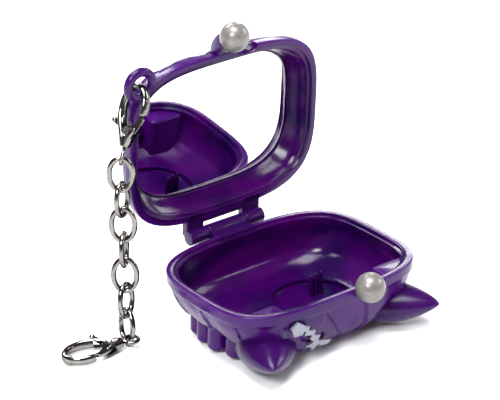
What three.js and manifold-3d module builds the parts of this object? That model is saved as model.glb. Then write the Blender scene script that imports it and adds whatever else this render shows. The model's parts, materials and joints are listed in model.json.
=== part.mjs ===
// Clamshell purse keychain: a hinged case with a mirror in its lid, a two-ball clasp on the rims,
// and a link chain with a swivel lobster clasp at each end. The case stands on z = 0, opened.
import * as THREE from "three";
import { mergeVertices } from "three/addons/utils/BufferGeometryUtils.js";
import Module from "manifold-3d";

const wasm = await Module();
wasm.setup();

// ---- Driving dimensions, in millimetres and degrees ----
const HALF_WIDTH = 31;
const HALF_DEPTH = 24.1;
const FRONT_POWER = 3.8; // squareness of the outline's front half
const BACK_POWER = 3.35;
const BASE_HEIGHT = 18;
const LID_HEIGHT = 10.3;
const BAND_HEIGHT = 2.7; // plain band around each rim
const BAND_STEP = 0.5;
const RIM_STEP = 2; // flat rim, before the rebate
const RIM_INSET = 2.9;
const WALL = 2.3;
const FLOOR_DEPTH = 13.8; // below the rim
const PIT_DEPTH = 15;
const GAP = 0.3;

const HINGE_Y = 28.2;
const HINGE_DROP = 0.4; // hinge axis below the rim
const OPEN_ANGLE = 84.9;
const KNUCKLE_RADIUS = 2.1;
const KNUCKLE_MIDDLE = 6.2; // half length of the base's knuckle
const KNUCKLE_END = 12.4;
const PIN_RADIUS = 0.8;

const TRIM_THICKNESS = 1.1;

const MIRROR_INSET = 5.6;
const MIRROR_DEPTH = 6.9; // front face, below the lid's rim
const MIRROR_THICKNESS = 1.1;
const PAD_THICKNESS = 0.4;

const BALL_RADIUS = 4;
const BASE_BALL = new THREE.Vector3(6.1, -26.3, BASE_HEIGHT + 0.6);
const LID_BALL = new THREE.Vector3(-1.1, -30.3, BASE_HEIGHT - 3.4); // with the lid shut

const LOOP_RADIUS = 3.65;
const LOOP_TUBE = 1.25;
const LOOP_CENTRE = new THREE.Vector3(-28.1, -22.1, BASE_HEIGHT + 0.6); // with the lid shut

const WIRE_RADIUS = 0.78;
const LINK_WIDTH = 7.6;
const LINK_LENGTH = 10.2;
const LINK_COUNT = 7;
const CONTACT_GAP = 0.16; // between two pieces of wire that hang on each other
const EYE_RADIUS = 1.95;
const EYE_WIRE = 0.55;
const EYE_DROP = 12.7; // eye's centre below the clasp's own centre

// ---- Materials ----
const shell = { color: 0x4b1f86, roughness: 0.25, metalness: 0 };
const pearl = { color: 0xbab4ae, roughness: 0.35, metalness: 0.1 };
const nickel = { color: 0xc9c7c4, roughness: 0.15, metalness: 1 };
const silver = { color: 0xc4c4cc, roughness: 0.3, metalness: 0.9 };
const steel = { color: 0x9a9a9e, roughness: 0.3, metalness: 1 };

// ---- Solids ----
function solid(geometry) {
  const bare = geometry.clone();
  bare.deleteAttribute("normal");
  bare.deleteAttribute("uv");
  const merged = mergeVertices(bare, 1e-4);
  const index = merged.index.array;
  const triVerts = [];
  for (let i = 0; i < index.length; i += 3) {
    const [a, b, c] = index.slice(i, i + 3);
    if (a !== b && b !== c && c !== a) triVerts.push(a, b, c);
  }
  return new wasm.Manifold(
    new wasm.Mesh({
      numProp: 3,
      vertProperties: merged.attributes.position.array,
      triVerts: new Uint32Array(triVerts),
    }),
  );
}

function meshOf(name, made, finish) {
  const { numProp, vertProperties, triVerts } = made.getMesh();
  const geometry = new THREE.BufferGeometry();
  geometry.setAttribute("position", new THREE.BufferAttribute(new Float32Array(vertProperties), numProp));
  geometry.setIndex(new THREE.BufferAttribute(new Uint32Array(triVerts), 1));
  geometry.computeVertexNormals();
  const mesh = new THREE.Mesh(geometry, new THREE.MeshStandardMaterial(finish));
  mesh.name = name;
  return mesh;
}

function box(x, y, z, cx, cy, cz) {
  return solid(new THREE.BoxGeometry(x, y, z).translate(cx, cy, cz));
}

// A cylinder along "x", "y" or "z", centred on a point.
function rod(axis, radius, length, x, y, z, sides = 20, farRadius = radius) {
  const geometry = new THREE.CylinderGeometry(farRadius, radius, length, sides);
  if (axis === "x") geometry.rotateZ(-Math.PI / 2);
  if (axis === "z") geometry.rotateX(Math.PI / 2);
  return solid(geometry.translate(x, y, z));
}

function ball(radius, centre, sides = 24) {
  return solid(new THREE.SphereGeometry(radius, sides, sides * 0.66).translate(...centre));
}

function union(first, ...rest) {
  return rest.reduce((all, next) => all.add(next), first);
}

// A point of the case's outline: a superellipse, squarer at its front than at its back.
function outlinePoint(angle, { side, front, back }) {
  const x = Math.cos(angle);
  const y = Math.sin(angle);
  const power = y < 0 ? FRONT_POWER : BACK_POWER;
  const stretch = (v) => Math.sign(v) * Math.abs(v) ** (2 / power);
  return [side * stretch(x), (y < 0 ? front : back) * stretch(y)];
}

// A closed solid through outlines that lie above each other, from the lowest to the highest.
function loft(levels, around = 48) {
  const profile = levels.map(({ z }) => new THREE.Vector2(1, z));
  profile.unshift(new THREE.Vector2(0, levels[0].z));
  profile.push(new THREE.Vector2(0, levels.at(-1).z));
  const geometry = new THREE.LatheGeometry(profile, around);
  const position = geometry.getAttribute("position");
  for (let i = 0; i < position.count; i += 1) {
    const row = i % profile.length;
    const level = levels[row - 1];
    const angle = (Math.floor(i / profile.length) / around) * 2 * Math.PI;
    const onAxis = row === 0 || row === profile.length - 1;
    const [x, y] = onAxis ? [0, 0] : outlinePoint(angle, level);
    position.setXYZ(i, x, y, profile[row].y);
  }
  return solid(geometry);
}

function inset(z, side, front = side, back = side) {
  return { z, side: HALF_WIDTH - side, front: HALF_DEPTH - front, back: HALF_DEPTH - back };
}

// How far a wall has curved in at a depth below the plain band, towards its full reach.
function curveIn(depth, height, reach, power) {
  const fall = (depth - BAND_HEIGHT) / (height - BAND_HEIGHT);
  if (fall <= 0) return 0;
  return BAND_STEP + reach * (1 - (1 - fall ** power) ** (1 / power));
}

// ---- Base ----
const baseWall = (depth, grow = 0) =>
  inset(
    BASE_HEIGHT - depth,
    curveIn(depth, BASE_HEIGHT, 16, 1.7) - grow,
    curveIn(depth, BASE_HEIGHT, 10.5, 2.2) - grow,
    curveIn(depth, BASE_HEIGHT, 5, 2.2) - grow,
  );

function baseOuter(grow = 0) {
  const depths = [18, 17.2, 16, 14, 11.5, 8.5, 5.5, 2.9, 2.7, 0.4];
  const levels = depths.map((depth) => baseWall(depth, grow));
  levels.push(inset(BASE_HEIGHT, GAP - grow));
  return loft(levels);
}

function bowl() {
  const fillet = 4.5;
  const depths = [0, 0.25, 0.5, 0.75, 0.93, 1].map((share) => FLOOR_DEPTH - fillet * (1 - share));
  const levels = depths.reverse().map((depth) => {
    const rise = (depth - FLOOR_DEPTH + fillet) / fillet;
    const round = fillet * (1 - Math.sqrt(Math.max(0, 1 - rise * rise)));
    return baseWall(depth, -WALL - round);
  });
  levels.push(baseWall(6, -WALL));
  levels.push(inset(BASE_HEIGHT - 2.9, RIM_INSET));
  levels.push(inset(BASE_HEIGHT + 1, RIM_INSET));
  return loft(levels, 40);
}

const rebate = (low, high) => loft([inset(low, RIM_STEP), inset(high, RIM_STEP)], 40);

// The raised corner blocks that take the fins' pegs.
function cornerBlock(side) {
  return box(11, 9, 12, side * 21.5, -18.5, BASE_HEIGHT - 7.7);
}

const TOES = [
  { x: 22.7, y: 10.2, radius: 2.1 },
  { x: 24, y: 5, radius: 2.4 },
  { x: 24.2, y: -0.6, radius: 2.8 },
  { x: 22.6, y: -6.8, radius: 3.2 },
];

function toe(side, { x, y, radius }) {
  const height = 8.5;
  const curve = [[0, 0]];
  for (const turn of [30, 60, 90]) {
    const a = THREE.MathUtils.degToRad(turn);
    curve.push([radius * Math.sin(a), 0.7 * radius * (1 - Math.cos(a))]);
  }
  curve.push([radius * 0.9, height], [0, height]);
  const profile = curve.map(([r, z]) => new THREE.Vector2(r, z));
  return solid(new THREE.LatheGeometry(profile, 12).rotateX(Math.PI / 2).translate(side * x, y, 0));
}

const hingeZ = BASE_HEIGHT - HINGE_DROP;

function knuckle(from, to) {
  const middle = (from + to) / 2;
  return rod("x", KNUCKLE_RADIUS, to - from, middle, HINGE_Y, hingeZ, 20);
}

const pinBore = () => rod("x", PIN_RADIUS + GAP, 30, 0, HINGE_Y, hingeZ, 16);

// The stem of a clasp ball points from the ball's centre into the rim that carries it.
function stem(centre, direction, radius, length) {
  const geometry = new THREE.CylinderGeometry(radius, radius, length, 14).translate(0, length / 2, 0);
  const turn = new THREE.Quaternion().setFromUnitVectors(new THREE.Vector3(0, 1, 0), direction);
  return solid(geometry.applyQuaternion(turn).translate(...centre));
}

const baseStem = new THREE.Vector3(0, 0.87, -0.5).normalize();
const lidStem = new THREE.Vector3(0, 0.8, 0.6).normalize();
const STEM_RADIUS = 1.2;
const STEM_LENGTH = 6.2;

function fin(side) {
  const length = 15.5;
  const profile = [new THREE.Vector2(0, 0)];
  for (let i = 0; i <= 7; i += 1) {
    const along = i / 7;
    const width = (1 - along ** 1.5) ** 0.75;
    profile.push(new THREE.Vector2(i === 7 ? 0 : width, along * length));
  }
  const geometry = new THREE.LatheGeometry(profile, 20);
  geometry.scale(8, 1, 5.6).rotateX(Math.PI);
  const position = geometry.getAttribute("position");
  for (let i = 0; i < position.count; i += 1) {
    const along = -position.getY(i) / length;
    position.setZ(i, position.getZ(i) + 1.4 * along * along);
  }
  geometry.rotateZ(THREE.MathUtils.degToRad(side * 31));
  return geometry.translate(side * 19.8, -15.6, 6.1);
}

const pegPlace = (side) => [side * 21.2, -17.8, BASE_HEIGHT - 9];
const pegTurn = (side) => new THREE.Vector3(side * Math.sin(0.54), -Math.cos(0.54), 0);

function finPiece(side) {
  const peg = stem(pegPlace(side), pegTurn(side), 1.5, 7);
  return solid(fin(side)).subtract(baseOuter(GAP)).add(peg);
}

// A thin casting on the front wall: a faceted nugget, a zig-zag and a four-pointed star.
function frontTrim() {
  const push = (points) => {
    const shape = new THREE.Shape(points.map(([x, z]) => new THREE.Vector2(x, z)));
    const geometry = new THREE.ExtrudeGeometry(shape, { depth: 8, bevelEnabled: false });
    return solid(geometry.rotateX(Math.PI / 2).translate(0, -18, 0));
  };
  const around = (count, x, z, radius, inner) =>
    Array.from({ length: count }, (_, i) => {
      const angle = (i / count + 0.25) * 2 * Math.PI;
      const reach = i % 2 ? inner : radius;
      return [x + reach * Math.cos(angle), z + reach * Math.sin(angle)];
    });
  const zigzag = [
    [-15, 13.4],
    [-12.4, 13],
    [-12.7, 11.7],
    [-10.4, 11.2],
    [-10.8, 9.8],
    [-8.6, 9],
    [-9.6, 6.6],
    [-11.9, 8.6],
    [-11.5, 9.9],
    [-13.9, 10.5],
    [-13.6, 11.8],
    [-16, 12.2],
  ].reverse();
  const tail = [
    [-7.8, 4.6],
    [-4.6, 4.2],
    [-4.2, 5.6],
    [-7.5, 6.8],
  ];
  const made = union(
    push(around(5, -15.8, 12.8, 2.2, 2.2)),
    push(zigzag),
    push(around(8, -9.6, 6.2, 3, 1.3)),
    push(tail),
  );
  return made.subtract(baseOuter(GAP)).intersect(baseOuter(GAP + TRIM_THICKNESS));
}

function basePiece() {
  const outer = baseOuter();
  const arm = box(KNUCKLE_MIDDLE * 2, 6.4, 2.6, 0, HINGE_Y - 3.2, hingeZ - 0.8);
  const prongs = [-1.6, 0, 1.6].map((dx) => rod("z", 0.7, 7.4, 11.5 + dx, 3, 5.8 + dx * 0.1, 10, 0.4));
  let made = outer.subtract(union(bowl(), rebate(BASE_HEIGHT - 0.9, BASE_HEIGHT + 1)));
  for (const side of [-1, 1]) {
    made = made.add(cornerBlock(side).intersect(outer));
    TOES.forEach((each) => {
      made = made.add(toe(side, each).subtract(bowl()));
    });
    made = made.subtract(stem(pegPlace(side), pegTurn(side), 1.8, 9));
  }
  made = made.subtract(rod("z", 11, 4, 8, 0, BASE_HEIGHT - PIT_DEPTH + 2, 32));
  made = union(made, ...prongs, arm, knuckle(-KNUCKLE_MIDDLE, KNUCKLE_MIDDLE));
  const boss = stem(BASE_BALL, baseStem, 2.6, 6.8).intersect(outer);
  made = made.add(boss);
  made = made.subtract(ball(BALL_RADIUS + GAP, BASE_BALL));
  made = made.subtract(stem(BASE_BALL, baseStem, STEM_RADIUS + GAP, STEM_LENGTH + GAP));
  return made.subtract(pinBore());
}

// ---- Lid, modelled shut on the base ----
function lidOuter() {
  const heights = [0.4, 2.7, 2.9, 4.6, 6.4, 8, 9.3, 10, LID_HEIGHT];
  const levels = heights.map((height) =>
    inset(BASE_HEIGHT + height, curveIn(height, LID_HEIGHT, 7.4, 2.1)),
  );
  levels.unshift(inset(BASE_HEIGHT + GAP, 0.2));
  return loft(levels);
}

function lidRecess() {
  const back = MIRROR_DEPTH + MIRROR_THICKNESS + PAD_THICKNESS + 0.2;
  return loft(
    [
      inset(BASE_HEIGHT - 1, RIM_INSET),
      inset(BASE_HEIGHT + 1.6, RIM_INSET),
      inset(BASE_HEIGHT + 4.4, RIM_INSET + 1),
      inset(BASE_HEIGHT + MIRROR_DEPTH - 0.2, MIRROR_INSET - 0.4),
      inset(BASE_HEIGHT + back, MIRROR_INSET - 0.3),
    ],
    40,
  );
}

function lidPiece() {
  const outer = lidOuter();
  const axis = [HINGE_Y, hingeZ];
  let made = outer;
  for (const side of [-1, 1]) {
    const middle = (side * (KNUCKLE_MIDDLE + GAP + KNUCKLE_END)) / 2;
    const width = KNUCKLE_END - KNUCKLE_MIDDLE - GAP;
    made = union(
      made,
      rod("x", KNUCKLE_RADIUS, width, middle, ...axis),
      box(width, 6.6, 2.2, middle, HINGE_Y - 3, BASE_HEIGHT + GAP + 1.1),
    );
  }
  // The lid's edge stands further out between its knuckles.
  made = made.add(box(2 * KNUCKLE_MIDDLE + 1, 2.8, 2.2, 0, HALF_DEPTH - 0.1, BASE_HEIGHT + GAP + 1.1));
  const loop = new THREE.TorusGeometry(LOOP_RADIUS, LOOP_TUBE, 10, 28).translate(...LOOP_CENTRE);
  made = made.add(solid(loop).subtract(loft([inset(0, -GAP), inset(BASE_HEIGHT + GAP, -GAP)])));
  made = made.subtract(rod("z", LOOP_RADIUS - LOOP_TUBE, 30, ...LOOP_CENTRE, 28));
  const tab = new THREE.ExtrudeGeometry(
    new THREE.Shape([
      new THREE.Vector2(-22.5, 0.5),
      new THREE.Vector2(-25.2, 0.5),
      new THREE.Vector2(-29.2, -2.4),
      new THREE.Vector2(-30.4, 0.4),
      new THREE.Vector2(-27.2, 3.2),
      new THREE.Vector2(-24, 4),
      new THREE.Vector2(-22.5, 4),
    ]),
    { depth: 5, bevelEnabled: false },
  );
  // The profile is drawn as (y, z) and pushed along x.
  tab.applyMatrix4(new THREE.Matrix4().set(0, 0, 1, 0, 1, 0, 0, 0, 0, 1, 0, 0, 0, 0, 0, 1));
  made = made.add(solid(tab.translate(LID_BALL.x - 2.5, 0, BASE_HEIGHT)));
  made = made.subtract(union(lidRecess(), rebate(BASE_HEIGHT - 1, BASE_HEIGHT + 1.1)));
  made = made.subtract(union(ball(BALL_RADIUS + GAP, LID_BALL), ball(BALL_RADIUS + 0.5, BASE_BALL)));
  made = made.subtract(stem(LID_BALL, lidStem, STEM_RADIUS + GAP, STEM_LENGTH + GAP));
  return made.subtract(pinBore());
}

function plate(edge, low, high) {
  return loft([inset(low, edge), inset(high, edge)], 40);
}

// ---- Clasps ----
// A clasp's own frame: x across it, y up to the top of its hook, z through its thickness.
function claspOutline() {
  const shape = new THREE.Shape();
  shape.moveTo(-1.7, -10.2);
  shape.lineTo(-1.7, -8.8);
  shape.bezierCurveTo(-2.2, -7.4, -4.8, -4.6, -4.8, 0.6);
  shape.bezierCurveTo(-4.8, 4.4, -2.8, 6.8, 0, 6.8);
  shape.bezierCurveTo(2.8, 6.8, 4.8, 4.4, 4.8, 0.6);
  shape.bezierCurveTo(4.8, -4.6, 2.2, -7.4, 1.7, -8.8);
  shape.lineTo(1.7, -10.2);
  return shape;
}

function claspThroat() {
  const shape = new THREE.Shape();
  shape.moveTo(0, 5);
  shape.bezierCurveTo(-1.9, 5, -3.1, 3.2, -3.1, 0.5);
  shape.bezierCurveTo(-3.1, -2.4, -1.8, -4.4, 0, -4.4);
  shape.bezierCurveTo(1.8, -4.4, 3.1, -2.4, 3.1, 0.5);
  shape.bezierCurveTo(3.1, 3.2, 1.9, 5, 0, 5);
  const geometry = new THREE.ExtrudeGeometry(shape, { depth: 4, bevelEnabled: false, curveSegments: 5 });
  return solid(geometry.translate(0, 0, -2));
}

const CLASP_THICKNESS = 2.9;
const CLASP_BEVEL = 0.7;
const RIVET_PLACE = [-0.3, -5.9];
const LEVER_SLOT = 1.8;
const LEVER_SWEEP = 6.3; // the lever's tip passes inside the hook's end
const CHAMBER_TOP = -8.2;
const CHAMBER_BOTTOM = -9.2;

function claspBody() {
  const geometry = new THREE.ExtrudeGeometry(claspOutline(), {
    depth: CLASP_THICKNESS - 2 * CLASP_BEVEL,
    bevelThickness: CLASP_BEVEL,
    bevelSize: CLASP_BEVEL,
    bevelOffset: -CLASP_BEVEL,
    bevelSegments: 2,
    curveSegments: 6,
  });
  const made = solid(geometry.translate(0, 0, -CLASP_THICKNESS / 2 + CLASP_BEVEL));
  const mouth = box(6, 5, 4, 4.4, -2.6, 0).intersect(rod("z", LEVER_SWEEP, 4, ...RIVET_PLACE, 0, 40));
  const slot = box(14, 4.9, LEVER_SLOT, 0, -5.5, 0);
  const chamberMiddle = (CHAMBER_TOP + CHAMBER_BOTTOM) / 2;
  return made.subtract(
    union(
      claspThroat(),
      mouth,
      slot,
      rod("z", 0.55, 4, ...RIVET_PLACE, 0, 12),
      rod("y", 1.2, CHAMBER_TOP - CHAMBER_BOTTOM, 0, chamberMiddle, 0, 14),
      rod("y", 0.75, 3, 0, -10, 0, 12),
    ),
  );
}

function claspLever() {
  const shape = new THREE.Shape();
  shape.moveTo(3, -1.05);
  shape.lineTo(3.8, -1.55);
  shape.lineTo(4.4, -2.2);
  shape.quadraticCurveTo(4, -5.2, 1.6, -7);
  shape.quadraticCurveTo(-0.6, -7.6, -2.2, -6.2);
  shape.lineTo(-5.4, -4.9);
  shape.quadraticCurveTo(-6.7, -4.4, -6.2, -3.6);
  shape.quadraticCurveTo(-5.6, -3, -4.8, -3.7);
  shape.lineTo(-1.6, -4.9);
  shape.quadraticCurveTo(2.4, -4.6, 3, -1.05);
  const geometry = new THREE.ExtrudeGeometry(shape, { depth: 0.8, bevelEnabled: false, curveSegments: 4 });
  return solid(geometry.translate(0, 0, -0.6)).subtract(rod("z", 0.55, 4, ...RIVET_PLACE, 0, 12));
}

const claspRivet = () => rod("z", 0.35, 3.1, ...RIVET_PLACE, 0, 12);

function claspSpring() {
  const coil = rod("z", 1.1, 0.35, ...RIVET_PLACE, 0.56, 14);
  return coil.subtract(rod("z", 0.55, 2, ...RIVET_PLACE, 0.56, 14));
}

// The eye turns on its stem, whose head sits in the chamber of the clasp's tail.
function claspEye() {
  const ring = solid(new THREE.TorusGeometry(EYE_RADIUS, EYE_WIRE, 8, 18).translate(0, -EYE_DROP, 0));
  const headMiddle = (CHAMBER_TOP + CHAMBER_BOTTOM) / 2;
  const stemLow = -EYE_DROP + EYE_RADIUS;
  return union(
    ring,
    rod("y", 0.45, headMiddle - stemLow, 0, (headMiddle + stemLow) / 2, 0, 10),
    rod("y", 0.95, 0.4, 0, headMiddle, 0, 14),
  );
}

// A clasp's pieces, in a group of the clasp's own frame.
function clasp(name, eyeTurn) {
  const group = new THREE.Group();
  const eye = meshOf(name + "_swivel_eye", claspEye(), nickel);
  eye.rotation.y = THREE.MathUtils.degToRad(eyeTurn);
  group.add(
    meshOf(name + "_body", claspBody(), nickel),
    meshOf(name + "_lever", claspLever(), nickel),
    meshOf(name + "_rivet", claspRivet(), steel),
    meshOf(name + "_spring", claspSpring(), steel),
    eye,
  );
  return group;
}

// ---- Chain ----
// An oval link in its own frame: its length along y, its wire's ring in the x-y plane.
function linkSolid() {
  const halfWidth = LINK_WIDTH / 2 - WIRE_RADIUS;
  const halfLength = LINK_LENGTH / 2 - WIRE_RADIUS;
  const geometry = new THREE.TorusGeometry(halfWidth, WIRE_RADIUS, 8, 20);
  const position = geometry.getAttribute("position");
  for (let i = 0; i < position.count; i += 1) {
    const angle = Math.atan2(position.getY(i), position.getX(i));
    const out = Math.hypot(position.getX(i), position.getY(i)) - halfWidth;
    const normal = new THREE.Vector2(halfLength * Math.cos(angle), halfWidth * Math.sin(angle)).normalize();
    position.setX(i, halfWidth * Math.cos(angle) + out * normal.x);
    position.setY(i, halfLength * Math.sin(angle) + out * normal.y);
  }
  return solid(geometry);
}

// Stands a group upright along a hanging direction, its x axis as near to "across" as it can be.
function hang(group, centre, down, across) {
  const y = down.clone().negate();
  const z = new THREE.Vector3().crossVectors(across, y).normalize();
  const x = new THREE.Vector3().crossVectors(y, z);
  group.quaternion.setFromRotationMatrix(new THREE.Matrix4().makeBasis(x, y, z));
  group.position.copy(centre);
  return group;
}

const LEAN_HEADING = new THREE.Vector3(-0.6, -0.8, 0);
const ACROSS = new THREE.Vector3(0.8, -0.6, 0);
const TOP_CLASP_CENTRE = new THREE.Vector3(-30.7, 24.2, 62.2);
const TOP_CLASP_DOWN = new THREE.Vector3(-0.46, -0.137, -1).normalize();
const TOP_CLASP_ACROSS = new THREE.Vector3(0.096, -0.995, 0);
const TOP_EYE_TURN = -44;
const LINK_LEANS = [4, 5, 6, 8, 10, 12, 14];
const LINK_TWISTS = [0, 24, 0, 10, 0, 28, 56]; // the chain's slack twist, link by link
const LOWER_CLASP_AWAY = new THREE.Vector3(-0.976, 0.217, -0.04).normalize();

function leaning(degrees) {
  const angle = THREE.MathUtils.degToRad(degrees);
  return LEAN_HEADING.clone().multiplyScalar(Math.sin(angle)).setZ(-Math.cos(angle));
}

function chain() {
  const group = new THREE.Group();
  group.add(hang(clasp("top_clasp", TOP_EYE_TURN), TOP_CLASP_CENTRE, TOP_CLASP_DOWN, TOP_CLASP_ACROSS));
  const halfLink = LINK_LENGTH / 2 - WIRE_RADIUS;
  const wireToWire = 2 * WIRE_RADIUS + CONTACT_GAP;
  const wireToEye = WIRE_RADIUS + EYE_WIRE + CONTACT_GAP;
  // The place of the wire that the next piece hangs on, and how far its own wire stays from that.
  let wire = TOP_CLASP_CENTRE.clone().addScaledVector(TOP_CLASP_DOWN, EYE_DROP + EYE_RADIUS);
  let apart = wireToEye;
  let linkAcross = ACROSS;
  for (let i = 0; i < LINK_COUNT; i += 1) {
    const down = leaning(LINK_LEANS[i]);
    const centre = wire.clone().addScaledVector(down, halfLink - apart);
    const link = new THREE.Group();
    link.add(meshOf("chain_link_" + (i + 1), linkSolid(), nickel));
    const turn = THREE.MathUtils.degToRad(LINK_TWISTS[i] + (i % 2 ? 90 : 0));
    linkAcross = ACROSS.clone().applyAxisAngle(down, turn);
    group.add(hang(link, centre, down, linkAcross));
    wire = centre.clone().addScaledVector(down, halfLink);
    apart = wireToWire;
  }
  // The lower clasp lies flat, its eye's far side on the last link's wire.
  const eyeWire = wire.clone().add(new THREE.Vector3(0, 0, wireToEye));
  const sideways = linkAcross.clone().setZ(0).normalize();
  const eyeCentre = eyeWire.addScaledVector(sideways, EYE_RADIUS);
  const lowerCentre = eyeCentre.addScaledVector(LOWER_CLASP_AWAY, EYE_DROP);
  const flat = new THREE.Vector3().crossVectors(new THREE.Vector3(0, 0, 1), LOWER_CLASP_AWAY);
  group.add(hang(clasp("lower_clasp", 0), lowerCentre, LOWER_CLASP_AWAY.clone().negate(), flat));
  return group;
}

// ---- Assembly ----
const group = new THREE.Group();

group.add(meshOf("base_shell", basePiece(), shell));
group.add(meshOf("left_fin", finPiece(-1), shell));
group.add(meshOf("right_fin", finPiece(1), shell));
group.add(meshOf("front_trim", frontTrim(), silver));
group.add(meshOf("hinge_pin", rod("x", PIN_RADIUS, 2 * KNUCKLE_END - 0.4, 0, HINGE_Y, hingeZ, 16), steel));

const baseBall = ball(BALL_RADIUS, BASE_BALL).add(stem(BASE_BALL, baseStem, STEM_RADIUS, STEM_LENGTH));
group.add(meshOf("base_ball", baseBall, pearl));

const mirrorLow = BASE_HEIGHT + MIRROR_DEPTH;
const padLow = mirrorLow + MIRROR_THICKNESS + 0.08;
const lidBall = ball(BALL_RADIUS, LID_BALL).add(stem(LID_BALL, lidStem, STEM_RADIUS, STEM_LENGTH));
const lidPieces = [
  meshOf("lid_shell", lidPiece(), shell),
  meshOf("mirror", plate(MIRROR_INSET, mirrorLow, mirrorLow + MIRROR_THICKNESS), {
    color: 0xf2f4f6,
    roughness: 0.02,
    metalness: 1,
  }),
  meshOf("mirror_pad", plate(MIRROR_INSET + 1, padLow, padLow + PAD_THICKNESS), {
    color: 0xd8d8d2,
    roughness: 0.9,
    metalness: 0,
  }),
  meshOf("lid_ball", lidBall, pearl),
];
const lid = new THREE.Group();
lid.position.set(0, HINGE_Y, hingeZ);
lid.rotation.x = THREE.MathUtils.degToRad(-OPEN_ANGLE);
lidPieces.forEach((piece) => {
  piece.position.set(0, -HINGE_Y, -hingeZ);
  lid.add(piece);
});
group.add(lid);
group.add(chain());

export default group;
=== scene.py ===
"""Looks of the hinged purse keychain: fine moulded shells, pearl balls, mirror, nickel clasps and chain."""

import json
import math

import bpy
import numpy as np
from mathutils import Matrix, Vector

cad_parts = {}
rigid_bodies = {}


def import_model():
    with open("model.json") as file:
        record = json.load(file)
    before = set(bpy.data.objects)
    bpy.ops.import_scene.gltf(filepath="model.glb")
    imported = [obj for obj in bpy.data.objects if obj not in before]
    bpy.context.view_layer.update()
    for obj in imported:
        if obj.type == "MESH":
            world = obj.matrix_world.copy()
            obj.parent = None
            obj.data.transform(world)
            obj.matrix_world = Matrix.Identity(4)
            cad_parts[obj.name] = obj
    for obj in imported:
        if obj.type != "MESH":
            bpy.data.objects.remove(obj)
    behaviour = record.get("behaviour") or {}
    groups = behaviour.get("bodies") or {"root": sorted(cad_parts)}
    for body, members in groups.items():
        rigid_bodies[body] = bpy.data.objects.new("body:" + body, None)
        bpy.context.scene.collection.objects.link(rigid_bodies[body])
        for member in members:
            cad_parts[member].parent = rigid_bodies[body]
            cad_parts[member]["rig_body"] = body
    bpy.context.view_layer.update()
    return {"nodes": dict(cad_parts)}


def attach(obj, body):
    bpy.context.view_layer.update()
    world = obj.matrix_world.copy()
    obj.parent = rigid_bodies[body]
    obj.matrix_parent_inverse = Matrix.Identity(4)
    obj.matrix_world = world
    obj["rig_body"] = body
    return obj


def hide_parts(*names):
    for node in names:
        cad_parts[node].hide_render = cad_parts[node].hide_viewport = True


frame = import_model()
NODES = frame["nodes"]
MM = 0.001

# ---- Dimensions in millimetres, the same as the CAD model's ----
HALF_WIDTH, HALF_DEPTH = 31.0, 24.1
FRONT_POWER, BACK_POWER = 3.8, 3.35
RIM_Z = 18.0
LID_HEIGHT = 10.3
BAND = 2.7
WALL = 2.3
TRAY_DEPTH, TRAY_ROUND = 13.8, 4.5
LIP = 2.9
# how far each wall of the base curves in on its way down, and how squarely
SIDE_CURVE, FRONT_CURVE, BACK_CURVE = (16, 1.7), (10.5, 2.2), (5, 2.2)
LID_CURVE = (7.4, 2.1)
HINGE = Vector((0, 28.2, 17.6))
OPEN_ANGLE = 84.9
SWING = Matrix.Rotation(math.radians(-OPEN_ANGLE), 4, "X")
OPEN = Matrix.Translation(HINGE) @ SWING @ Matrix.Translation(-HINGE)
KNUCKLE_RADIUS, KNUCKLE_MIDDLE, KNUCKLE_END, KNUCKLE_GAP = 2.1, 6.2, 12.4, 0.3
BALL_RADIUS = 4
STEM_RADIUS, STEM_LENGTH = 1.2, 6.1
LINK_WIDTH, LINK_LENGTH, LINK_WIRE = 7.6, 10.2, 0.745
AROUND = 384


# ---- Materials ----
class Look:
    """A material's node tree, with short calls for the nodes it uses."""

    def __init__(self, name, **sockets):
        self.material = bpy.data.materials.new(name)
        self.material.use_nodes = True
        self.tree = self.material.node_tree
        self.shader = self.tree.nodes["Principled BSDF"]
        for key, value in sockets.items():
            self.shader.inputs[key.replace("_", " ")].default_value = value
        self.place = self.node("ShaderNodeTexCoord").outputs["Object"]

    def node(self, kind, **values):
        made = self.tree.nodes.new(kind)
        for key, value in values.items():
            setattr(made, key, value)
        return made

    def link(self, a, b):
        self.tree.links.new(a, b)
        return b

    def scaled(self, x, y, z):
        node = self.node("ShaderNodeMapping")
        node.inputs["Scale"].default_value = (x, y, z)
        self.link(self.place, node.inputs["Vector"])
        return node.outputs["Vector"]

    def noise(self, scale, detail=3.0, rough=0.5, place=None, distortion=0.0):
        node = self.node("ShaderNodeTexNoise")
        node.inputs["Scale"].default_value = scale
        node.inputs["Detail"].default_value = detail
        node.inputs["Roughness"].default_value = rough
        node.inputs["Distortion"].default_value = distortion
        self.link(place or self.place, node.inputs["Vector"])
        return node.outputs["Fac"]

    def ramp(self, value, *stops):
        node = self.node("ShaderNodeValToRGB")
        while len(node.color_ramp.elements) < len(stops):
            node.color_ramp.elements.new(0.5)
        for element, (at, colour) in zip(node.color_ramp.elements, stops):
            element.position = at
            element.color = (*colour, 1) if isinstance(colour, tuple) else (colour, colour, colour, 1)
        self.link(value, node.inputs["Fac"])
        return node.outputs["Color"]

    def mix(self, factor, a, b, blend="MIX"):
        node = self.node("ShaderNodeMix", data_type="RGBA", blend_type=blend)
        for socket, value in ((node.inputs[0], factor), (node.inputs[6], a), (node.inputs[7], b)):
            if isinstance(value, bpy.types.NodeSocket):
                self.link(value, socket)
            else:
                socket.default_value = value
        return node.outputs[2]

    def bump(self, height, strength, distance, after=None):
        node = self.node("ShaderNodeBump")
        node.inputs["Strength"].default_value = strength
        node.inputs["Distance"].default_value = distance
        self.link(height, node.inputs["Height"])
        if after:
            self.link(after, node.inputs["Normal"])
        return node.outputs["Normal"]

    def set(self, socket, output):
        self.link(output, self.shader.inputs[socket])


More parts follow.
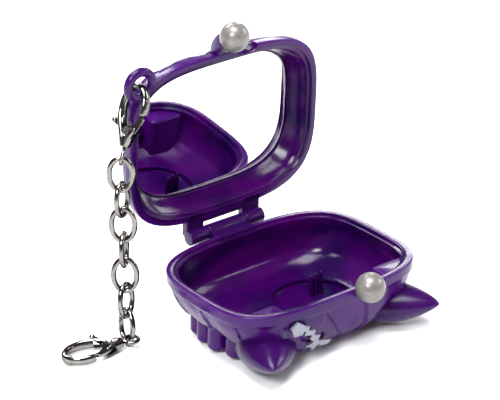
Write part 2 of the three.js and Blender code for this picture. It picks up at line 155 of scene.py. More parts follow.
def purple_plastic(name, deep, light, rough, peel):
    """Glossy, faintly translucent moulded plastic with flow marks and fine orange peel; in the inside look
    the flow's lighter tone is also a painted glow.
    """
    look = Look(
        name,
        IOR=1.45,
        Specular_IOR_Level=0.25,
        Subsurface_Weight=0.15,
        Subsurface_Radius=(1.0, 0.25, 1.3),
        Subsurface_Scale=0.0016,
    )
    # Flow marks in the tone. In the inside look their lighter, more magenta tone is also painted glow of
    # light shining through the walls.
    flow_marks_and_glow = look.noise(38, 4, 0.55, look.scaled(1, 1, 1.8), 0.6)
    look.set("Base Color", look.ramp(flow_marks_and_glow, (0.36, deep), (0.7, light)))
    scuff = look.noise(420, 5, 0.65)
    look.set("Roughness", look.ramp(scuff, (0.35, rough), (0.8, rough + 0.14)))
    coarse = look.bump(look.noise(230, 2, 0.4), peel, 0.00012)
    look.set("Normal", look.bump(look.noise(1500, 3, 0.5), peel * 0.8, 0.00003, coarse))
    return look.material


def metal(name, colour, rough, tarnish):
    """Plated casting: faint waviness, polishing haze, darker specks in the plating, and painted shade that
    darkens it towards grazing edges.
    """
    look = Look(name, Metallic=1.0, IOR=1.5)
    haze = look.noise(650, 4, 0.6)
    dark = tuple(c * tarnish for c in colour)
    plate = look.ramp(haze, (0.3, dark), (0.62, colour))
    # Painted shade: the colour darkens towards grazing angles, standing in for the dark surroundings that
    # the edges reflect.
    painted_shade_facing = look.node("ShaderNodeLayerWeight")
    painted_shade_facing.inputs["Blend"].default_value = 0.5
    edge = look.ramp(painted_shade_facing.outputs["Facing"], (0.34, 1.0), (0.56, 0.28), (0.85, 0.06))
    look.set("Base Color", look.mix(1.0, plate, edge, "MULTIPLY"))
    look.set("Roughness", look.ramp(look.noise(900, 3), (0.3, rough), (0.8, rough + 0.12)))
    look.set("Normal", look.bump(look.noise(420, 2, 0.5), 0.25, 0.00008))
    return look.material


def pearl():
    """Pearl-finish paint: warm grey with soft swirls of mica under a clear coat."""
    look = Look("pearl_paint", Metallic=0.3, IOR=1.5, Coat_Weight=0.25, Coat_Roughness=0.22)
    swirl = look.noise(170, 4, 0.6, distortion=1.8)
    look.set("Base Color", look.ramp(swirl, (0.3, (0.12, 0.112, 0.108)), (0.7, (0.2, 0.189, 0.182))))
    flake = look.noise(5200, 1)
    look.set("Roughness", look.ramp(flake, (0.35, 0.3), (0.7, 0.46)))
    look.set("Normal", look.bump(flake, 0.12, 0.00002))
    return look.material


def silver_paint():
    """Silver paint over a cast detail, with metal flake."""
    look = Look("silver_paint", Metallic=0.55, IOR=1.5)
    flake = look.noise(4200, 2, 0.6)
    look.set("Base Color", look.ramp(flake, (0.3, (0.15, 0.15, 0.2)), (0.7, (0.27, 0.27, 0.33))))
    look.set("Roughness", look.ramp(look.noise(800, 4), (0.3, 0.3), (0.75, 0.5)))
    look.set("Normal", look.bump(look.noise(1400, 3), 0.3, 0.00005))
    return look.material


def mirror_glass():
    """Silvered plate: nearly perfect, with a trace of haze and fine dust."""
    look = Look("mirror_silver", Metallic=1.0)
    dust = look.noise(3800, 3, 0.7)
    look.set("Base Color", look.ramp(dust, (0.2, (0.9, 0.91, 0.93)), (0.5, (0.97, 0.97, 0.98))))
    look.set("Roughness", look.ramp(look.noise(60, 3), (0.3, 0.004), (0.8, 0.018)))
    return look.material


def foam():
    look = Look("pad_foam", Roughness=0.9)
    cells = look.noise(3000, 2)
    look.set("Base Color", look.ramp(cells, (0.3, (0.5, 0.5, 0.47)), (0.7, (0.72, 0.72, 0.68))))
    look.set("Normal", look.bump(cells, 0.5, 0.0001))
    return look.material


OUTSIDE = purple_plastic("purple_outside", (0.026, 0.0012, 0.07), (0.046, 0.002, 0.108), 0.15, 0.4)
# The inside faces take a darker copy of the purple: painted shade in the tray and the lid's recess. The
# lighter, more magenta tone of its flow pattern is a painted glow of light shining through the walls.
INSIDE_PAINTED_SHADE = purple_plastic("purple_inside_painted_shade", (0.0065, 0.0004, 0.033), (0.043, 0.0005, 0.078), 0.13, 0.8)
FIN_LOOK = purple_plastic("purple_fin", (0.018, 0.001, 0.047), (0.028, 0.002, 0.069), 0.18, 0.5)
NICKEL = metal("nickel_plate", (0.22, 0.207, 0.197), 0.045, 0.72)
STEEL = metal("steel_wire", (0.34, 0.34, 0.35), 0.24, 0.7)
PEARL = pearl()
SILVER = silver_paint()
MIRROR = mirror_glass()
FOAM = foam()


# ---- Mesh tools ----
def make(name, vertices, faces, materials, body, slot, replaces=(), place=None, sharp=35, choose=None):
    mesh = bpy.data.meshes.new(name)
    points = np.asarray(vertices, float) * MM
    if place is not None:
        matrix = np.array(Matrix.Scale(MM, 4) @ place @ Matrix.Scale(1 / MM, 4))
        points = points @ matrix[:3, :3].T + matrix[:3, 3]
    mesh.from_pydata(points.tolist(), [], [tuple(f) for f in faces])
    mesh.validate()
    for material in materials:
        mesh.materials.append(material)
    if choose is not None:
        mesh.polygons.foreach_set("material_index", np.asarray(choose, np.int32))
    mesh.polygons.foreach_set("use_smooth", np.ones(len(mesh.polygons), bool))
    mesh.set_sharp_from_angle(angle=math.radians(sharp))
    mesh.update()
    made = bpy.data.objects.new(name, mesh)
    bpy.context.scene.collection.objects.link(made)
    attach(made, body)
    if replaces:
        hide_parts(*replaces)
    return made


def rings(rows, closed=False, cap=True):
    """Vertices and faces through rows of points that follow each other; each row closes on itself."""
    rows = [np.asarray(r, float) for r in rows]
    around = len(rows[0])
    vertices = np.vstack(rows)
    faces = []
    steps = len(rows) if closed else len(rows) - 1
    for r in range(steps):
        a, b = r * around, ((r + 1) % len(rows)) * around
        for i in range(around):
            j = (i + 1) % around
            faces.append((a + i, a + j, b + j, b + i))
    if cap and not closed:
        low, high = rows[0].mean(0), rows[-1].mean(0)
        n = len(vertices)
        vertices = np.vstack([vertices, low, high])
        last = (len(rows) - 1) * around
        for i in range(around):
            j = (i + 1) % around
            faces.append((j, i, n))
            faces.append((last + i, last + j, n + 1))
    return vertices, faces


def joined(*parts):
    vertices, faces = [], []
    for v, f in parts:
        base = sum(len(x) for x in vertices)
        vertices.append(np.asarray(v, float))
        faces += [tuple(i + base for i in each) for each in f]
    return np.vstack(vertices), faces


def moved(part, matrix):
    v, f = part
    m = np.array(matrix)
    return np.asarray(v) @ m[:3, :3].T + m[:3, 3], f


def applied(made):
    """Turns an object's modifiers into its mesh."""
    bpy.context.view_layer.update()
    mesh = bpy.data.meshes.new_from_object(made.evaluated_get(bpy.context.evaluated_depsgraph_get()))
    made.modifiers.clear()
    made.data = mesh
    return mesh


def repaint(node, material):
    """Gives a carried-over node its material."""
    NODES[node].data.materials.clear()
    NODES[node].data.materials.append(material)


def points_of(node):
    """A carried-over node's vertices, in millimetres."""
    return np.array([v.co for v in NODES[node].data.vertices], float) / MM


def carve(made, tool, sharp, place=None):
    """Cuts a form out of a piece; the cut faces take the piece's last material."""
    material = made.data.materials[-1]
    cutter = make("cutter", *tool, [material], made["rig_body"], "purple_plastic", place=place)
    cut = made.modifiers.new("cut", "BOOLEAN")
    cut.operation = "DIFFERENCE"
    cut.object = cutter
    cut.solver = "EXACT"
    applied(made).set_sharp_from_angle(angle=math.radians(sharp))
    bpy.data.objects.remove(cutter)


def outline(side, front, back, angles):
    """A rounded rectangle, with its own squareness in front and behind."""
    c, s = np.cos(angles), np.sin(angles)
    power = np.where(s < 0, FRONT_POWER, BACK_POWER)
    x = side * np.sign(c) * np.abs(c) ** (2 / power)
    y = np.where(s < 0, front, back) * np.sign(s) * np.abs(s) ** (2 / power)
    return x, y


def even_angles():
    """Angles that space the outline's points evenly along it."""
    fine = np.linspace(0, 2 * math.pi, 7200, endpoint=True)
    x, y = outline(HALF_WIDTH, HALF_DEPTH, HALF_DEPTH, fine)
    run = np.concatenate([[0], np.cumsum(np.hypot(np.diff(x), np.diff(y)))])
    return np.interp(np.linspace(0, run[-1], AROUND, endpoint=False), run, fine)


ANGLES = even_angles()


def level(z, side, front=None, back=None):
    front = side if front is None else front
    back = side if back is None else back
    x, y = outline(HALF_WIDTH - side, HALF_DEPTH - front, HALF_DEPTH - back, ANGLES)
    return np.stack([x, y, np.full_like(x, z)], 1)


def curve_in(depth, height, reach, power):
    """How far a wall stands in from the case's outline, at a depth below its rim."""
    fall = (depth - BAND) / (height - BAND)
    if fall <= 0:
        return 0.0
    return 0.5 + reach * (1 - (1 - min(fall, 1) ** power) ** (1 / power))


def base_wall(depth, inward=0.0):
    return level(
        RIM_Z - depth,
        curve_in(depth, RIM_Z, *SIDE_CURVE) + inward,
        curve_in(depth, RIM_Z, *FRONT_CURVE) + inward,
        curve_in(depth, RIM_Z, *BACK_CURVE) + inward,
    )


def petals(row, share, height):
    """Two tiers of overlapping pointed petals, as an inward offset that steps down at each tier's edge."""
    along = np.arange(AROUND) / AROUND
    slant = 0.9 * share * np.sin(2 * math.pi * (along + 0.25))
    raised = np.zeros(AROUND)
    for tier, (low, high) in enumerate(((0.08, 0.66), (0.5, 1.04))):
        phase = (along * 14 + slant + 0.5 * tier) % 1.0
        across = np.abs(phase * 2 - 1)
        edge_room = high - (high - low) * across**1.5 - share
        edge = np.clip(edge_room / 0.03, 0, 1)
        step = edge * edge * (3 - 2 * edge)
        slope = 0.1 * np.clip(edge_room / 0.3, 0, 1)
        raised = np.maximum(raised, step * (1 - 0.45 * tier - 0.14 * across - slope))
    fade = np.clip(share / 0.06, 0, 1) * np.clip((1 - share) / 0.06, 0, 1)
    centre = row.mean(0)
    towards = centre - row
    towards[:, 2] = 0
    towards /= np.maximum(np.linalg.norm(towards, axis=1, keepdims=True), 1e-6)
    return row + towards * (height * (1 - raised) * fade)[:, None]


def lathe(profile, around=64, flat=1.0):
    """A turned form: profile is (radius, along z)."""
    a = np.linspace(0, 2 * math.pi, around, endpoint=False)
    rows = [np.stack([r * np.cos(a), flat * r * np.sin(a), np.full(around, z)], 1) for r, z in profile]
    return rings(rows)


def aim(centre, direction):
    turn = Vector((0, 0, 1)).rotation_difference(Vector(direction)).to_matrix().to_4x4()
    return Matrix.Translation(Vector(centre)) @ turn


def rounded_rod(radius, length, edge, around=48):
    """A rod along z, from 0 to its length, with rounded ends."""
    turn = np.linspace(0, math.pi / 2, 5)
    profile = [(radius - edge + edge * math.sin(t), edge - edge * math.cos(t)) for t in turn]
    profile += [(r, length - z) for r, z in reversed(profile)]
    return lathe(profile, around)


def ball(radius, centre, around=72):
    t = np.linspace(0.02, math.pi - 0.02, 40)
    profile = [(radius * math.sin(a), -radius * math.cos(a)) for a in t]
    return moved(lathe(profile, around), Matrix.Translation(Vector(centre)))


def moulding(name, rows, kinds, body, node, place=None, turned=False):
    """A shell with one look outside and one inside; kinds says which look follows each row."""
    vertices, faces = rings(rows)
    choose = [kinds[min(f[0] // AROUND, len(rows) - 2)] for f in faces[: (len(rows) - 1) * AROUND]]
    choose += [0, 1] * AROUND
    if turned:
        faces = [tuple(reversed(f)) for f in faces]
    looks = [OUTSIDE, INSIDE_PAINTED_SHADE]
    return make(name, vertices, faces, looks, body, "purple_plastic", (node,), place, 50, choose)


# ---- Base ----
def base_rows():
    rows, kinds = [], []

    def add(row, kind):
        rows.append(row)
        kinds.append(kind)

    for share in (0.25, 0.6, 0.85, 0.96):
        row = base_wall(RIM_Z)
        row[:, :2] *= share
        add(row, 0)
    for depth in np.concatenate([np.linspace(18, 16.5, 8), np.linspace(16.3, 2.95, 70)]):
        share = (depth - LIP) / (RIM_Z - LIP)
        add(petals(base_wall(depth), share, 1.2), 0)
    for depth, inward in ((2.86, 0.3), (2.8, 0.1), (2.7, 0.02), (2.5, 0), (0.75, 0)):
        add(level(RIM_Z - depth, inward), 0)
    for t in np.linspace(0, math.pi / 2, 6):
        add(level(RIM_Z - 0.45 + 0.45 * math.sin(t), 0.3 * (1 - math.cos(t)) + 0.02), 0)
    rebate = (1.2, 18), (1.85, 18), (1.98, 17.93), (2, 17.8), (2.02, 17.2), (2.1, 17.1)
    for inward, z in (*rebate, (2.75, 17.1), (2.88, 17.03)):
        add(level(z, inward), 1)
    for depth in (1.3, 2.0, LIP):
        add(level(RIM_Z - depth, LIP), 1)
    for depth in np.linspace(3.6, 9.2, 24):
        blend = min(1, (depth - LIP) / 1.6)
        plain = level(RIM_Z - depth, LIP)
        add(plain * (1 - blend) + base_wall(depth, WALL) * blend, 1)
    for rise in np.linspace(0.02, 1, 16):
        depth = TRAY_DEPTH - TRAY_ROUND * (1 - rise)
        inward = WALL + TRAY_ROUND * (1 - math.sqrt(max(0, 1 - rise * rise)))
        add(base_wall(depth, inward), 1)
    for share in (0.85, 0.6, 0.3):
        row = base_wall(TRAY_DEPTH, WALL + TRAY_ROUND)
        row[:, :2] *= share
        add(row, 1)
    return rows, kinds


def corner_block(side):
    """The raised block over a fin's peg: a rounded slab that follows the corner."""
    rows = []
    x0, x1, y0, y1 = 16.0, 27.0, -23.0, -14.0
    radius, inset = 1.4, 1.0
    for grow, z in ((0, 4.0), (0, 15.4), (-0.1, 15.9), (-0.35, 16.2), (-0.7, 16.3)):
        points = []
        for cx, cy, start in ((x1, y1, 0), (x0, y1, 90), (x0, y0, 180), (x1, y0, 270)):
            for t in np.linspace(start, start + 90, 9):
                a = math.radians(t)
                sx, sy = (1 if cx == x1 else -1), (1 if cy == y1 else -1)
                reach = radius + grow
                px = cx - sx * radius + reach * math.cos(a)
                py = cy - sy * radius + reach * math.sin(a)
                points.append((px, py, z))
        rows.append(points)
    vertices, faces = rings(rows)
    x, y = vertices[:, 0], vertices[:, 1]
    depth = RIM_Z - vertices[:, 2]
    for i in range(len(vertices)):
        inward = curve_in(depth[i], RIM_Z, *SIDE_CURVE) + inset
        front = curve_in(depth[i], RIM_Z, *FRONT_CURVE) + inset
        a, b = HALF_WIDTH - inward, HALF_DEPTH - front
        size = (abs(x[i] / a) ** FRONT_POWER + abs(y[i] / b) ** FRONT_POWER) ** (1 / FRONT_POWER)
        if size > 1:
            x[i] /= size
            y[i] /= size
    vertices[:, 0] *= side
    if side < 0:
        faces = [tuple(reversed(f)) for f in faces]
    return vertices, faces


def bowl_height(x, y):
    """Height of the tray's inner wall over a point."""
    for depth in np.linspace(TRAY_DEPTH, 3, 55):
        side = HALF_WIDTH - curve_in(depth, RIM_Z, *SIDE_CURVE) - WALL
        deep = HALF_DEPTH - curve_in(depth, RIM_Z, *(FRONT_CURVE if y < 0 else BACK_CURVE)) - WALL
        power = FRONT_POWER if y < 0 else BACK_POWER
        if abs(x / side) ** power + abs(y / deep) ** power < 1:
            return RIM_Z - depth
    return RIM_Z


TOES = ((22.7, 10.2, 2.1), (24.0, 5.0, 2.4), (24.2, -0.6, 2.8), (22.6, -6.8, 3.2))


def toes():
    parts = []
    for side in (-1, 1):
        for x, y, radius in TOES:
            turn = np.linspace(0.02, math.pi / 2, 14)
            curve = [(radius * math.sin(t), 0.7 * radius * (1 - math.cos(t))) for t in turn]
            curve += [(radius * 0.97, 4.5), (radius * 0.9, 8.5)]
            v, f = moved(lathe(curve, 40), Matrix.Translation((side * x, y, 0)))
            for point in v:
                point[2] = min(point[2], bowl_height(point[0], point[1]) - 0.5)
            parts.append((v, f))
    return joined(*parts)


def prongs():
    parts = []
    for dx in (-1.6, 0, 1.6):
        top = 9.5 + dx * 0.1
        profile = [(0.75, 3), (0.6, top - 1.6), (0.5, top - 0.6), (0.3, top - 0.15), (0.05, top)]
        parts.append(moved(lathe(profile, 20), Matrix.Translation((11.5 + dx, 3, 0))))
    return joined(*parts)


def hinge_half(spans, arm_depth, arm_low, arm_high):
    """Knuckles along x with the arm that joins each to its rim."""
    parts = []
    for low, high in spans:
        knuckle = rounded_rod(KNUCKLE_RADIUS, high - low, 0.3)
        knuckle = moved(knuckle, aim((low, HINGE.y, HINGE.z), (1, 0, 0)))
        rows = []
        for z, grow in ((arm_low, -0.25), (arm_low + 0.25, 0), (arm_high - 0.25, 0), (arm_high, -0.25)):
            y0, y1 = HINGE.y - arm_depth, HINGE.y
            x0, x1 = low + 0.05 - grow, high - 0.05 + grow
            rows.append([(x0, y0, z), (x1, y0, z), (x1, y1, z), (x0, y1, z)])
        parts += [knuckle, rings(rows)]
    return joined(*parts)


pit = moved(rounded_rod(11, 6, 0.05, 160), Matrix.Translation((8, 0, 3.0)))
carve(moulding("base_moulding", *base_rows(), "case_base", "base_shell"), pit, 50)
make("base_prongs", *prongs(), [INSIDE_PAINTED_SHADE], "case_base", "purple_plastic", sharp=40)
blocks = joined(corner_block(-1), corner_block(1))
# The blocks in the tray take the outside purple, lighter than the tray's: painted light for their lit
# glossy tops.
make("base_corner_blocks", *blocks, [OUTSIDE], "case_base", "purple_plastic", sharp=40)
make("base_toes", *toes(), [OUTSIDE], "case_base", "purple_plastic", sharp=50)
base_knuckle = hinge_half(((-KNUCKLE_MIDDLE, KNUCKLE_MIDDLE),), 6.2, 15.5, 18.1)
make("base_knuckle", *base_knuckle, [FIN_LOOK], "case_base", "purple_plastic", sharp=35)


# ---- Fins ----
def fin(side):
    length, half_width, half_height = 15.5, 8, 5.6
    rows = []
    for t in np.linspace(0.0, 0.999, 44):
        width = max((1 - t**1.5) ** 0.75, 0.015)
        a = np.linspace(0, 2 * math.pi, 72, endpoint=False)
        x = half_width * width * np.cos(a)
        z = half_height * width * np.sin(a)
        # a soft keel along the top of the fin
        z = z + 0.35 * width * np.exp(-((x / 2.2) ** 2)) * (np.sin(a) > 0)
        rows.append(np.stack([x, np.full(72, -t * length), z + 1.4 * t * t], 1))
    part = rings(rows)
    turn = Matrix.Rotation(math.radians(side * 31), 4, "Z")
    return moved(part, Matrix.Translation((side * 19.8, -15.6, 6.1)) @ turn)


for side, name in ((-1, "left_fin"), (1, "right_fin")):
    make(name + "_moulding", *fin(side), [FIN_LOOK], "case_base", "purple_plastic", (name,), sharp=60)


# ---- Lid, modelled shut ----
def lid_rows():
    rows, kinds = [], []

    def add(row, kind):
        rows.append(row)
        kinds.append(kind)

    def wall(height, inward=0.0):
        return level(RIM_Z + height, curve_in(height, LID_HEIGHT, *LID_CURVE) + inward)

    for share in (0.2, 0.45, 0.7, 0.88, 0.97):
        row = wall(LID_HEIGHT)
        row[:, :2] *= share
        row[:, 2] += 0.25 * (1 - share * share) - 0.25 * (share > 0.8)
        add(row, 0)
    for height in np.concatenate([np.linspace(10.3, 9.4, 8), np.linspace(9.3, 2.95, 46)]):
        share = (height - LIP) / (LID_HEIGHT - LIP)
        add(petals(wall(height), share, 0.95), 0)
    for height, inward in ((2.82, 0.12), (2.72, 0.02), (2.5, 0), (1.0, 0)):
        add(level(RIM_Z + height, inward), 0)
    for t in np.linspace(0, math.pi / 2, 6):
        add(level(RIM_Z + 0.75 - 0.45 * math.sin(t), 0.3 * (1 - math.cos(t)) + 0.02), 0)
    rim = (1.2, 0.3), (1.85, 0.3), (1.98, 0.37), (2, 0.5), (2.02, 1.0), (2.1, 1.1), (2.75, 1.1), (2.88, 1.2)
    for inward, height in rim:
        add(level(RIM_Z + height, inward), 1)
    recess = (1.6, 2.92), (2.5, 3.15), (3.5, 3.5), (4.4, 3.9), (5.4, 4.5), (6.2, 4.95), (6.55, 5.12)
    for height, inward in (*recess, (6.7, 5.2), (6.75, 5.35), (7.2, 5.35), (8.3, 5.35)):
        add(level(RIM_Z + height, inward), 1)
    for share in (0.8, 0.4):
        row = level(RIM_Z + 8.5, 5.35)
        row[:, :2] *= share
        add(row, 1)
    return rows, kinds


lid = moulding("lid_moulding", *lid_rows(), "case_lid", "lid_shell", OPEN, turned=True)

INNER = KNUCKLE_MIDDLE + KNUCKLE_GAP
ENDS = ((-KNUCKLE_END, -INNER), (INNER, KNUCKLE_END))
bar = []
for y, z0, z1 in ((23.4, 18.32, 20.5), (24.95, 18.32, 20.5), (25.2, 18.5, 20.3), (25.28, 18.7, 20.1)):
    bar.append([(-6.7, y, z0), (6.7, y, z0), (6.7, y, z1), (-6.7, y, z1)])
knuckles = joined(hinge_half(ENDS, 6.2, 18.3, 20.5), rings(bar))
make("lid_knuckles", *knuckles, [FIN_LOOK], "case_lid", "purple_plastic", place=OPEN, sharp=35)


# ---- The lid's loop and tab ----
def loop():
    """The ring at the lid's corner: a torus of round section."""
    rows = []
    radius, wire = 3.65, 1.25
    t = np.linspace(0, 2 * math.pi, 28, endpoint=False)
    for a in np.linspace(0, 2 * math.pi, 72, endpoint=False):
        r = radius + wire * np.cos(t)
        x, y = -28.1 + r * math.cos(a), -22.1 + r * math.sin(a)
        rows.append(np.stack([x, y, 18.6 + wire * np.sin(t)], 1))
    return rings(rows, closed=True)


def keep_outside(part, low):
    """Lifts what lies inside the base's rim to just above it, as the lid's lip does."""
    v, f = part
    v = v.copy()
    a, b = HALF_WIDTH + 0.3, HALF_DEPTH + 0.3
    size = np.abs(v[:, 0] / a) ** FRONT_POWER + np.abs(v[:, 1] / b) ** FRONT_POWER
    under = (size < 1) & (v[:, 2] < low)
    v[under, 2] = low
    return v, f


def tab():
    """The sloped tongue that carries the lid's ball."""
    under = [(-22.5, 0.5), (-25.2, 0.45), (-27.4, -1.0), (-28.9, -2.3), (-29.5, -2.2), (-30.2, -0.4)]
    over = [(-30.35, 0.5), (-28.8, 2.0), (-27.2, 3.1), (-25.6, 3.75), (-24, 4), (-22.5, 4)]
    line = np.array(under + over)
    centre = line.mean(0)
    rows = []
    for x, shrink in ((-2.5, 0.35), (-2.4, 0.15), (-2.15, 0), (2.15, 0), (2.4, 0.15), (2.5, 0.35)):
        edge = line + (centre - line) * shrink * 0.25
        rows.append([(-1.1 + x, y, RIM_Z + z) for y, z in edge])
    return rings(rows)


lid_extras = joined(keep_outside(loop(), 18.3), tab())
make("lid_loop_and_tab", *lid_extras, [OUTSIDE], "case_lid", "purple_plastic", place=OPEN, sharp=45)

# ---- Balls ----
base_dir = Vector((0, 0.87, -0.5)).normalized()
lid_dir = Vector((0, 0.8, 0.6)).normalized()
BASE_BALL, LID_BALL = (6.1, -26.3, 18.6), (-1.1, -30.3, 14.6)
stem = rounded_rod(STEM_RADIUS, STEM_LENGTH, 0.2, 32)
base_ball = joined(ball(BALL_RADIUS, BASE_BALL), moved(stem, aim(BASE_BALL, base_dir)))
lid_ball = joined(ball(BALL_RADIUS, LID_BALL), moved(stem, aim(LID_BALL, lid_dir)))
# the lid's rim is hollowed where it closes past the base's ball
carve(lid, ball(BALL_RADIUS + 0.5, BASE_BALL), 50, OPEN)
make("base_pearl", *base_ball, [PEARL], "case_base", "pearl_plastic", ("base_ball",), sharp=60)
make("lid_pearl", *lid_ball, [PEARL], "case_lid", "pearl_plastic", ("lid_ball",), place=OPEN, sharp=60)

# ---- Mirror and pad ----
MIRROR_EDGE = (5.9, 6.9), (5.62, 7.02), (5.6, 7.1), (5.6, 7.95), (5.7, 8.0)
mirror_rows = []
for share in (0.2, 0.6, 0.99):
    row = level(RIM_Z + 6.9, 5.9)
    row[:, :2] *= share
    mirror_rows.append(row)
mirror_rows += [level(RIM_Z + z, inward) for inward, z in MIRROR_EDGE]
make("mirror_plate", *rings(mirror_rows), [MIRROR], "case_lid", "mirror_plate", ("mirror",), OPEN, 25)
repaint("mirror_pad", FOAM)


# ---- Chain ----
def node_frame(name):
    """A piece's own frame, from its CAD solid: its centre and its principal directions, longest first."""
    co = points_of(name)
    centre = co.mean(0)
    _, _, axes = np.linalg.svd(co - centre, full_matrices=False)
    local = (co - centre) @ axes.T
    return centre + axes.T @ (local.max(0) + local.min(0)) / 2, axes


def oval_link(name):
    centre, axes = node_frame(name)
    # to the middle of the CAD wire, which is 1.5 mm thick
    half_width, half_length = LINK_WIDTH / 2 - 0.75, LINK_LENGTH / 2 - 0.75
    rows = []
    t = np.linspace(0, 2 * math.pi, 28, endpoint=False)
    for a in np.linspace(0, 2 * math.pi, 96, endpoint=False):
        nx, ny = half_length * math.cos(a), half_width * math.sin(a)
        size = math.hypot(nx, ny)
        nx, ny = nx / size, ny / size
        x = half_width * math.cos(a) + LINK_WIRE * np.cos(t) * nx
        y = half_length * math.sin(a) + LINK_WIRE * np.cos(t) * ny
        rows.append(np.stack([x, y, LINK_WIRE * np.sin(t)], 1))
    v, f = rings(rows, closed=True)
    # x across the link, y along it, z through the wire
    v = v[:, 1:2] * axes[0] + v[:, 0:1] * axes[1] + v[:, 2:3] * axes[2] + centre
    return v, f


for i in range(1, 8):
    name = "chain_link_%d" % i
    body = NODES[name]["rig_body"]
    make("link_%d_wire" % i, *oval_link(name), [NICKEL], body, "nickel_plate", (name,), sharp=60)


def cast(node, material, voxel, smooth):
    """A carried-over casting gets rounded edges, as the plated zinc one has."""
    repaint(node, material)
    obj = NODES[node]
    remesh = obj.modifiers.new("round", "REMESH")
    remesh.mode = "VOXEL"
    remesh.voxel_size = voxel * MM
    remesh.use_smooth_shade = True
    soften = obj.modifiers.new("soften", "SMOOTH")
    soften.iterations = smooth
    soften.factor = 0.5


# ---- Clasps ----
def smooth_path(points, steps=14):
    """A curve through the points, as points close together."""
    p = np.asarray(points, float)
    p = np.vstack([2 * p[0] - p[1], p, 2 * p[-1] - p[-2]])
    out = []
    for i in range(1, len(p) - 2):
        for t in np.linspace(0, 1, steps, endpoint=False):
            a, b, c, d = p[i - 1 : i + 3]
            square, cube = 2 * a - 5 * b + 4 * c - d, 3 * b - a - 3 * c + d
            out.append(0.5 * (2 * b + (c - a) * t + square * t * t + cube * t**3))
    out.append(p[-2])
    return np.array(out)


def bent_rod(points, steps=14):
    """A rod bent in its own plane: each point is (x, y, half width, half thickness)."""
    path = smooth_path(points, steps)
    rows = []
    t = np.linspace(0, 2 * math.pi, 28, endpoint=False)
    for i, (x, y, width, thick) in enumerate(path):
        before, after = path[max(i - 1, 0)], path[min(i + 1, len(path) - 1)]
        along = (after - before)[:2]
        along /= np.linalg.norm(along)
        across = np.array([along[1], -along[0]])
        reach = width * np.cos(t)
        rows.append(np.stack([x + reach * across[0], y + reach * across[1], thick * np.sin(t)], 1))
    for side in (0, -1):
        row, step = rows[side], path[side][:2] - path[1 if side == 0 else -2][:2]
        step = step / np.linalg.norm(step)
        for grow in (0.35, 0.6):
            cap = row.mean(0) + (row - row.mean(0)) * math.sqrt(1 - grow * grow)
            cap[:, :2] += step * grow * path[side][2]
            rows.insert(0 if side == 0 else len(rows), cap)
    return rings(rows)


HOOK = (
    (-0.7, -9.2, 1.0, 1.25),
    (-1.3, -7.6, 1.0, 1.35),
    (-2.5, -5.2, 1.0, 1.4),
    (-3.55, -2.6, 0.98, 1.4),
    (-3.95, 0.3, 0.92, 1.35),
    (-3.5, 3.1, 0.9, 1.3),
    (-2.0, 5.15, 0.86, 1.25),
    (0, 5.95, 0.84, 1.2),
    (2.0, 5.15, 0.84, 1.2),
    (3.5, 3.1, 0.86, 1.2),
    (3.95, 0.9, 0.88, 1.25),
    (3.95, -0.7, 0.82, 1.2),
)
STUB = ((0.7, -9.2, 1.0, 1.25), (1.3, -7.6, 0.95, 1.35), (2.2, -6.1, 0.8, 1.3), (2.75, -5.0, 0.6, 1.15))
TAIL_END = ((0.95, -10.2), (1.35, -10.1), (1.5, -9.8), (1.5, -8.9))
TAIL = (*TAIL_END, (1.42, -8.2), (1.3, -7.4), (0.9, -6.9), (0.3, -6.7))
BORE = ((1.15, 8.2), (1.15, 9.2), (0.72, 9.21), (0.72, 11))


def clasp_frame(end):
    """The clasp's own frame, from its CAD pieces: x across, y up to the hook, z through it."""
    body = points_of(end + "_clasp_body")
    rivet = points_of(end + "_clasp_rivet")
    _, _, axes = np.linalg.svd(body - body.mean(0), full_matrices=False)
    y, z = axes[0], axes[2]
    eye = points_of(end + "_clasp_swivel_eye").mean(0)
    y = y if (body.mean(0) - eye) @ y > 0 else -y
    spring = points_of(end + "_clasp_spring").mean(0)
    middle = (rivet.max(0) + rivet.min(0)) / 2
    z = z if (spring - middle) @ z > 0 else -z
    x = np.cross(y, z)
    origin = middle + 0.3 * x + 5.9 * y
    return Matrix((*[(x[i], y[i], z[i], origin[i]) for i in range(3)], (0, 0, 0, 1)))


def clasp_body(end, body):
    """The clasp's casting: a hook and a stub on a turned tail, fused, then slotted for the lever."""
    place = clasp_frame(end)
    tail = moved(lathe(TAIL, 48, 0.92), Matrix.Rotation(math.radians(-90), 4, "X"))
    form = joined(bent_rod(HOOK), bent_rod(STUB), tail)
    name, replaced = end + "_clasp_casting", (end + "_clasp_body",)
    made = make(name, *form, [NICKEL], body, "nickel_plate", replaced, place)
    remesh = made.modifiers.new("fuse", "REMESH")
    remesh.mode = "VOXEL"
    remesh.voxel_size = 0.08 * MM
    soften = made.modifiers.new("soften", "SMOOTH")
    soften.iterations = 12
    soften.factor = 0.5
    applied(made)
    slot = [[(-7, -7.6, z), (7, -7.6, z), (7, -3.0, z), (-7, -3.0, z)] for z in (-0.9, 0.9)]
    bore = moved(lathe(BORE, 32), Matrix.Rotation(math.radians(90), 4, "X"))
    for tool in (rings(slot), bore):
        carve(made, tool, 40, place)
    made.data.polygons.foreach_set("use_smooth", np.ones(len(made.data.polygons), bool))
    return place


for end in ("top", "lower"):
    place = clasp_body(end, end + "_clasp")
    cast(end + "_clasp_lever", NICKEL, 0.08, 6)
    cast(end + "_clasp_swivel_eye", NICKEL, 0.07, 8)
    arc = np.linspace(0.05, math.pi - 0.05, 20)
    knob = lathe([(0.85 * math.sin(a), -0.85 * math.cos(a)) for a in arc], 32)
    knob = moved(knob, Matrix.Translation((-6.1, -4.1, -0.2)))
    make(end + "_clasp_knob", *knob, [NICKEL], end + "_lever", "nickel_plate", place=place, sharp=80)
    repaint(end + "_clasp_rivet", STEEL)
    repaint(end + "_clasp_spring", STEEL)
cast("front_trim", SILVER, 0.1, 4)
repaint("hinge_pin", OUTSIDE)


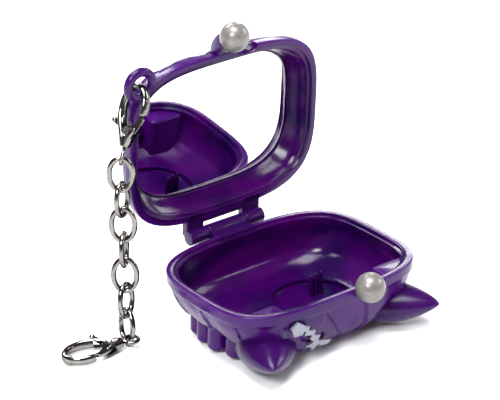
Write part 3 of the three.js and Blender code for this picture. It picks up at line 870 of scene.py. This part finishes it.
# ---- Stage, light and camera ----
def stage():
    size = 1.1
    mesh = bpy.data.meshes.new("floor")
    corners = [(-size, -size, 0), (size, -size, 0), (size, size, 0), (-size, size, 0)]
    mesh.from_pydata(corners, [], [(0, 1, 2, 3)])
    floor = bpy.data.objects.new("floor", mesh)
    bpy.context.scene.collection.objects.link(floor)
    look = Look("floor_paper", Roughness=0.75)
    look.shader.inputs["Specular IOR Level"].default_value = 0.2
    look.set("Base Color", look.ramp(look.noise(3, 3), (0.3, 0.9), (0.7, 0.93)))
    mesh.materials.append(look.material)

    world = bpy.data.worlds.new("studio")
    world.use_nodes = True
    background = world.node_tree.nodes["Background"]
    tree = world.node_tree
    split = tree.nodes.new("ShaderNodeSeparateXYZ")
    tree.links.new(tree.nodes.new("ShaderNodeTexCoord").outputs["Generated"], split.inputs[0])
    glow = tree.nodes.new("ShaderNodeMapRange")
    for socket, value in (("From Min", 0.09), ("From Max", 0.18), ("To Min", 1.0), ("To Max", 0.15)):
        glow.inputs[socket].default_value = value
    tree.links.new(split.outputs["Z"], glow.inputs["Value"])
    tree.links.new(glow.outputs["Result"], background.inputs["Strength"])
    background.inputs["Color"].default_value = (1, 1, 1, 1)
    bpy.context.scene.world = world


def lamp(name, place, target, size, power):
    data = bpy.data.lights.new(name, "AREA")
    data.shape = "RECTANGLE"
    data.size, data.size_y = size
    data.energy = power
    light = bpy.data.objects.new(name, data)
    bpy.context.scene.collection.objects.link(light)
    light.location = place
    light.rotation_euler = (Vector(target) - Vector(place)).to_track_quat("-Z", "Y").to_euler()


def camera():
    azimuth, elevation, roll = (math.radians(v) for v in (-36.78, 25.37, -1.29))
    level_back = Vector((math.sin(azimuth), -math.cos(azimuth), 0))
    back = level_back * math.cos(elevation) + Vector((0, 0, math.sin(elevation)))
    right = Vector((math.cos(azimuth), math.sin(azimuth), 0))
    up = back.cross(right)
    r = right * math.cos(roll) + up * math.sin(roll)
    u = up * math.cos(roll) - right * math.sin(roll)
    target = Vector((-12.27, 0, 39.52)) * MM
    distance = 0.5689
    data = bpy.data.cameras.new("camera")
    data.sensor_width = 36
    data.lens = 159.3
    data.clip_end = 20
    cam = bpy.data.objects.new("camera", data)
    bpy.context.scene.collection.objects.link(cam)
    place = target + back * distance
    cam.matrix_world = Matrix((*[(r[i], u[i], back[i], place[i]) for i in range(3)], (0, 0, 0, 1)))
    bpy.context.scene.camera = cam


stage()
lamp("key", (-0.75, -0.4, 0.8), (0, 0, 0.02), (0.34, 0.34), 12.0)
lamp("side", (0.9, -0.28, 0.5), (0, 0, 0.02), (0.4, 0.4), 3.8)
lamp("glint", (0.54, -0.72, 0.4), (0, 0, 0.02), (0.16, 0.08), 0.7)
lamp("back", (0.1, 0.85, 0.75), (0, 0, 0.02), (0.55, 0.3), 10.0)
lamp("top", (-0.15, -0.05, 1.15), (0, 0, 0.02), (0.8, 0.6), 23.0)
lamp("rim", (0.75, 0.75, 0.5), (0, 0, 0.02), (0.3, 0.2), 2.5)
bpy.context.scene.view_settings.view_transform = "Standard"
camera()
